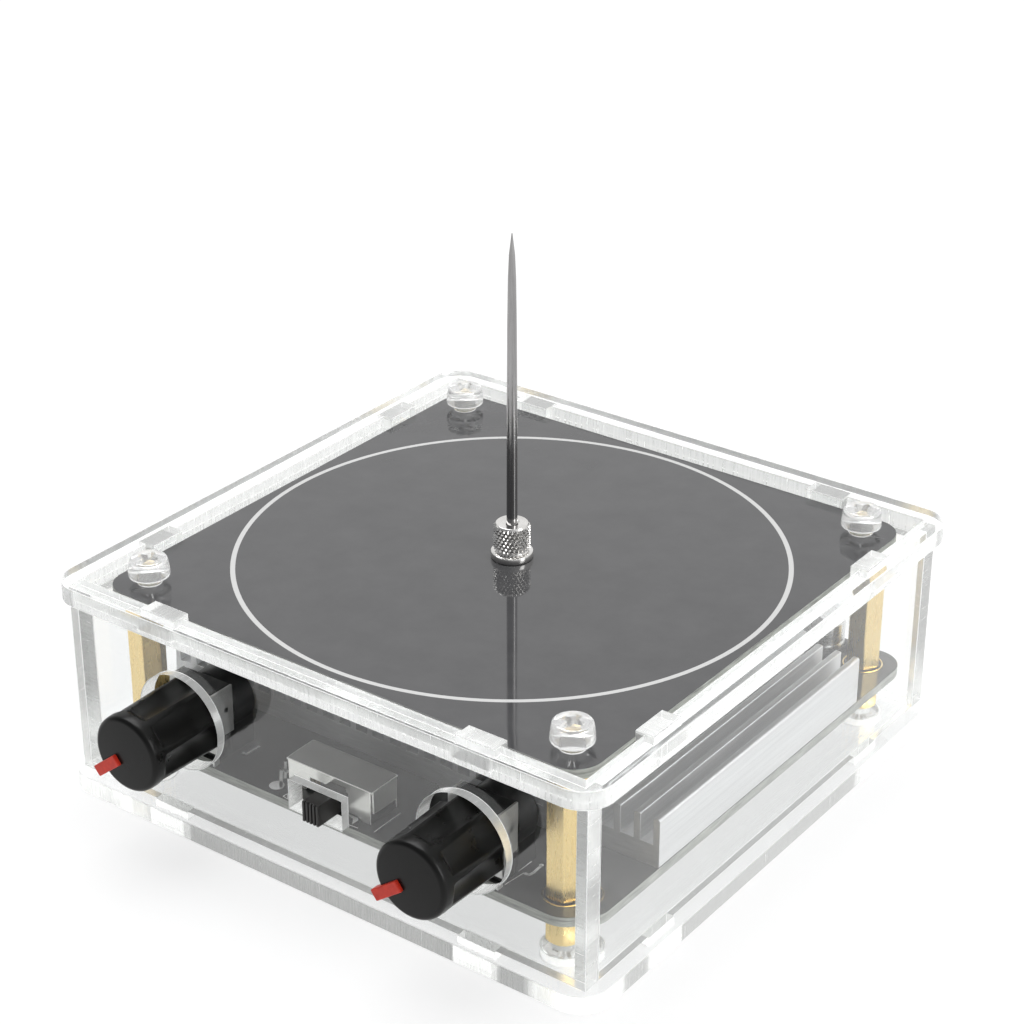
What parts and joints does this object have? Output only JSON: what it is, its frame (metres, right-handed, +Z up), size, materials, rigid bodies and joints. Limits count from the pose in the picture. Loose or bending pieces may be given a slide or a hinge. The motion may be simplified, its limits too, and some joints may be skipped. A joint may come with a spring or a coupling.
{
  "type": "desktop resonant transformer",
  "caption": "Clear acrylic box with stacked circuit boards, a needle discharge terminal, two rotary controls and a mode slide switch.",
  "frame": {"origin": "centre of the base plate's underside, where the part stands on a table", "axes": "+X to the right and +Z up as seen by someone facing the controls, which are on the -Y side"},
  "size_m": [0.1, 0.1097, 0.0877],
  "materials": {
    "clear_acrylic": "clear, polished faces, laser-cut edges",
    "clear_screw_plastic": "clear moulded plastic",
    "board_laminate": "black solder mask, glossy",
    "turned_brass": "bright turned brass",
    "gold_plating": "thin gold plating",
    "printed_copper": "copper under lacquer",
    "nickel_plating": "bright nickel plating",
    "bright_steel": "ground steel",
    "extruded_aluminium": "bare extruded aluminium",
    "package_epoxy": "moulded black epoxy",
    "thermal_rubber": "soft grey pad",
    "cover_tinplate": "dull tinplate",
    "switch_tinplate": "bright tinplate",
    "control_phenolic": "black moulded plastic",
    "tinned_pins": "tinned",
    "shaft_plastic": "moulded plastic",
    "knob_plastic": "satin black",
    "pointer_red": "red moulded plastic",
    "slider_plastic": "black, ribbed",
    "socket_plastic": "black moulded plastic",
    "capacitor_aluminium": "bright can with black foot"
  },
  "bodies": {
    "case": {"audio_socket": "socket_plastic", "audio_socket_pins": "tinned_pins", "base_plate": "clear_acrylic", "bulk_capacitors": "capacitor_aluminium", "coil_board": "board_laminate", "discharge_needle": "bright_steel", "driver_board": "board_laminate", "driver_board_pads": "gold_plating", "driver_chips": "package_epoxy", "foot_screws": "clear_screw_plastic", "front_panel": "clear_acrylic", "heat_sink": "extruded_aluminium", "heat_sink_screws": "bright_steel", "knurled_nut": "nickel_plating", "left_control_body": "control_phenolic", "left_control_cover": "cover_tinplate", "left_control_pins": "tinned_pins", "left_panel": "clear_acrylic", "mode_switch_base": "control_phenolic", "mode_switch_can": "switch_tinplate", "mode_switch_pins": "tinned_pins", "power_inlet_body": "socket_plastic", "power_inlet_contacts": "tinned_pins", "power_inlet_pin": "bright_steel", "power_transistors": "package_epoxy", "primary_winding": "printed_copper", "rear_panel": "clear_acrylic", "right_control_body": "control_phenolic", "right_control_cover": "cover_tinplate", "right_control_pins": "tinned_pins", "right_panel": "clear_acrylic", "secondary_winding": "printed_copper", "short_standoffs": "turned_brass", "tall_standoffs": "turned_brass", "terminal_stud": "turned_brass", "thermal_pads": "thermal_rubber", "top_frame": "clear_acrylic", "top_screws": "clear_screw_plastic", "wireless_module_board": "board_laminate", "wireless_module_shield": "cover_tinplate"},
    "left_dial": {"left_shaft": "shaft_plastic", "left_knob": "knob_plastic", "left_pointer": "pointer_red"},
    "right_dial": {"right_shaft": "shaft_plastic", "right_knob": "knob_plastic", "right_pointer": "pointer_red"},
    "mode_slider": {"mode_switch_slider": "slider_plastic"}
  },
  "joints": [
    {"name": "left_dial_turn", "type": "hinge", "parent": "case", "child": "left_dial", "pos_m": [-0.0265, -0.0591, 0.0187], "axis": [0, 1, 0], "range_deg": [-21, 279]},
    {"name": "right_dial_turn", "type": "hinge", "parent": "case", "child": "right_dial", "pos_m": [0.0265, -0.0591, 0.0187], "axis": [0, 1, 0], "range_deg": [-23, 277]},
    {"name": "mode_slide", "type": "slide", "parent": "case", "child": "mode_slider", "axis": [1, 0, 0], "range_m": [-0.0035, 0]}
  ]
}
